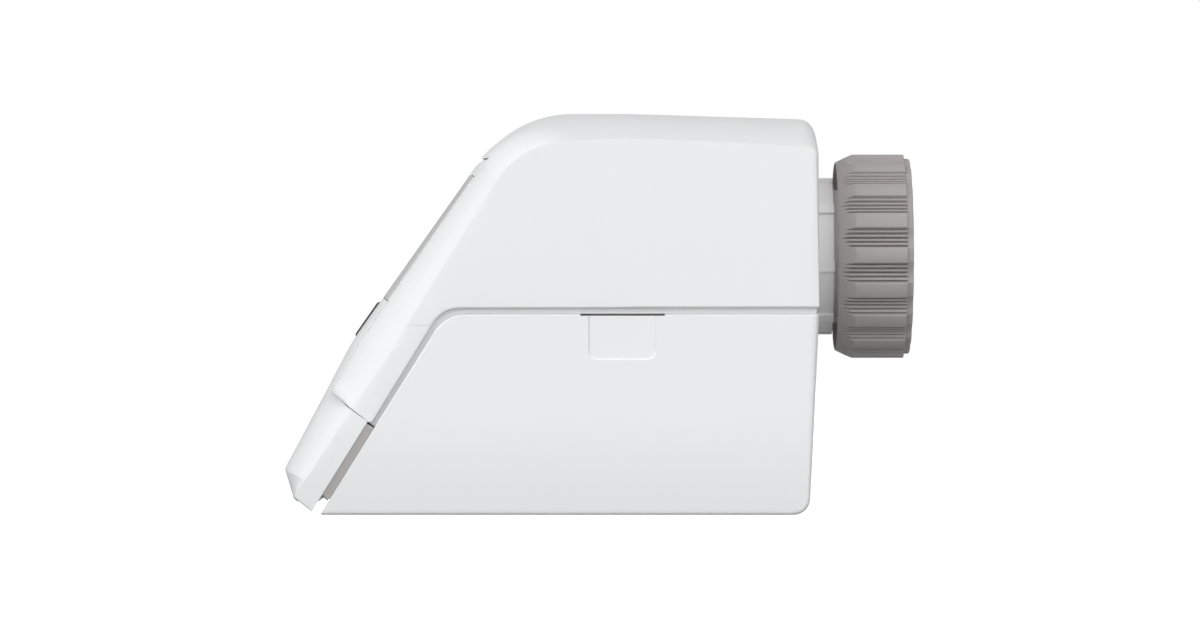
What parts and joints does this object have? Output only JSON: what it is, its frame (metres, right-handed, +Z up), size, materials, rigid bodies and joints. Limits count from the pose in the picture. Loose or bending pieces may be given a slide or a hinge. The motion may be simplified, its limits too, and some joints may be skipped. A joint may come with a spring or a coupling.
{
  "type": "motorised radiator valve actuator head",
  "caption": "Battery-powered heating valve actuator head with a slanted tilting display, slide-off battery cover, geared pusher and knurled union nut.",
  "frame": {"origin": "under the middle of the object's box, on the flat underside of the battery cover", "axes": "+X along the valve spindle, out of the union nut; +Z up, away from the battery cover's underside; the display faces -X and +Z"},
  "size_m": [0.1, 0.054, 0.064],
  "materials": {
    "white_plastic": "satin white ABS, fine moulded surface",
    "grey_plastic": "warm mid grey, satin",
    "pale_grey_plastic": "light grey, satin",
    "dark_plastic": "near-black, satin",
    "natural_plastic": "natural acetal, satin",
    "steel": "plated steel",
    "circuit_board": "green solder mask",
    "display_window": "silver-grey gloss window",
    "lcd": "liquid crystal glass",
    "battery_wrap": "printed wrap, no marks"
  },
  "bodies": {
    "housing": {"upper_housing": "white_plastic", "chassis": "grey_plastic", "battery_1": "battery_wrap", "battery_2": "battery_wrap", "battery_contact_front": "steel", "battery_spring_front": "steel", "battery_bridge_rear": "steel", "chassis_screw_1": "steel", "chassis_screw_2": "steel", "chassis_screw_3": "steel", "chassis_screw_4": "steel", "main_pcb": "circuit_board", "mcu_chip": "dark_plastic", "radio_module": "steel", "buffer_capacitor": "battery_wrap", "flex_ribbon": "natural_plastic", "arbor_1": "steel", "arbor_2": "steel", "gearbox_plate": "dark_plastic", "gearbox_cover": "dark_plastic", "motor": "steel"},
    "display": {"display_frame": "white_plastic", "display_rear_cover": "grey_plastic", "display_lens": "display_window", "lcd_glass": "lcd", "lcd_backlight": "natural_plastic", "hinge_pin_left": "steel", "hinge_pin_right": "steel", "display_pcb": "circuit_board", "tact_switch": "dark_plastic"},
    "dial": {"setting_dial": "dark_plastic", "dial_axle": "steel"},
    "button": {"mode_button": "white_plastic"},
    "cover": {"battery_cover": "white_plastic"},
    "adapter": {"valve_adapter": "pale_grey_plastic"},
    "nut": {"union_nut": "grey_plastic"},
    "output": {"output_gear": "natural_plastic"},
    "second": {"gear_2": "natural_plastic"},
    "first": {"gear_1": "natural_plastic"},
    "armature": {"motor_pinion": "steel"},
    "spindle": {"pusher": "steel"}
  },
  "joints": [
    {"name": "display_tilt", "type": "hinge", "parent": "housing", "child": "display", "pos_m": [-0.01729, 0, 0.05269], "axis": [0, 1, 0], "range_deg": [0, 30]},
    {"name": "dial_spin", "type": "hinge", "parent": "display", "child": "dial", "pos_m": [-0.03211, 0, 0.02699], "axis": [0.5736, 0, 0.8192], "continuous": true},
    {"name": "mode_button_press", "type": "slide", "parent": "display", "child": "button", "axis": [0.8829, 0, -0.4695], "range_m": [0, 0.0007], "stiffness_N_per_m": 400},
    {"name": "battery_cover_slide", "type": "slide", "parent": "housing", "child": "cover", "axis": [0, 0, -1], "range_m": [0, 0.045]},
    {"name": "adapter_pull", "type": "slide", "parent": "housing", "child": "adapter", "axis": [1, 0, 0], "range_m": [0, 0.012]},
    {"name": "union_nut_spin", "type": "hinge", "parent": "adapter", "child": "nut", "pos_m": [0.044, 0, 0.041], "axis": [1, 0, 0], "continuous": true},
    {"name": "output_gear_spin", "type": "hinge", "parent": "housing", "child": "output", "pos_m": [0.027, 0, 0.041], "axis": [1, 0, 0], "range_deg": [0, 360]},
    {"name": "gear_2_spin", "type": "hinge", "parent": "housing", "child": "second", "pos_m": [0.025, 0.01223, 0.04671], "axis": [1, 0, 0], "range_deg": [-1440, 0]},
    {"name": "gear_1_spin", "type": "hinge", "parent": "housing", "child": "first", "pos_m": [0.02, 0.00144, 0.04671], "axis": [1, 0, 0], "range_deg": [0, 4320]},
    {"name": "motor_spin", "type": "hinge", "parent": "housing", "child": "armature", "pos_m": [0.018, -0.00937, 0.04671], "axis": [1, 0, 0], "range_deg": [-12960, 0]},
    {"name": "pusher_travel", "type": "slide", "parent": "housing", "child": "spindle", "axis": [1, 0, 0], "range_m": [0, 0.0043]}
  ],
  "couplings": [
    {"joint": "gear_2_spin", "follows": "output_gear_spin", "ratio": -4},
    {"joint": "gear_1_spin", "follows": "output_gear_spin", "ratio": 12},
    {"joint": "motor_spin", "follows": "output_gear_spin", "ratio": -36},
    {"joint": "pusher_travel", "follows": "output_gear_spin", "m_per_rad": 0.00068437}
  ]
}
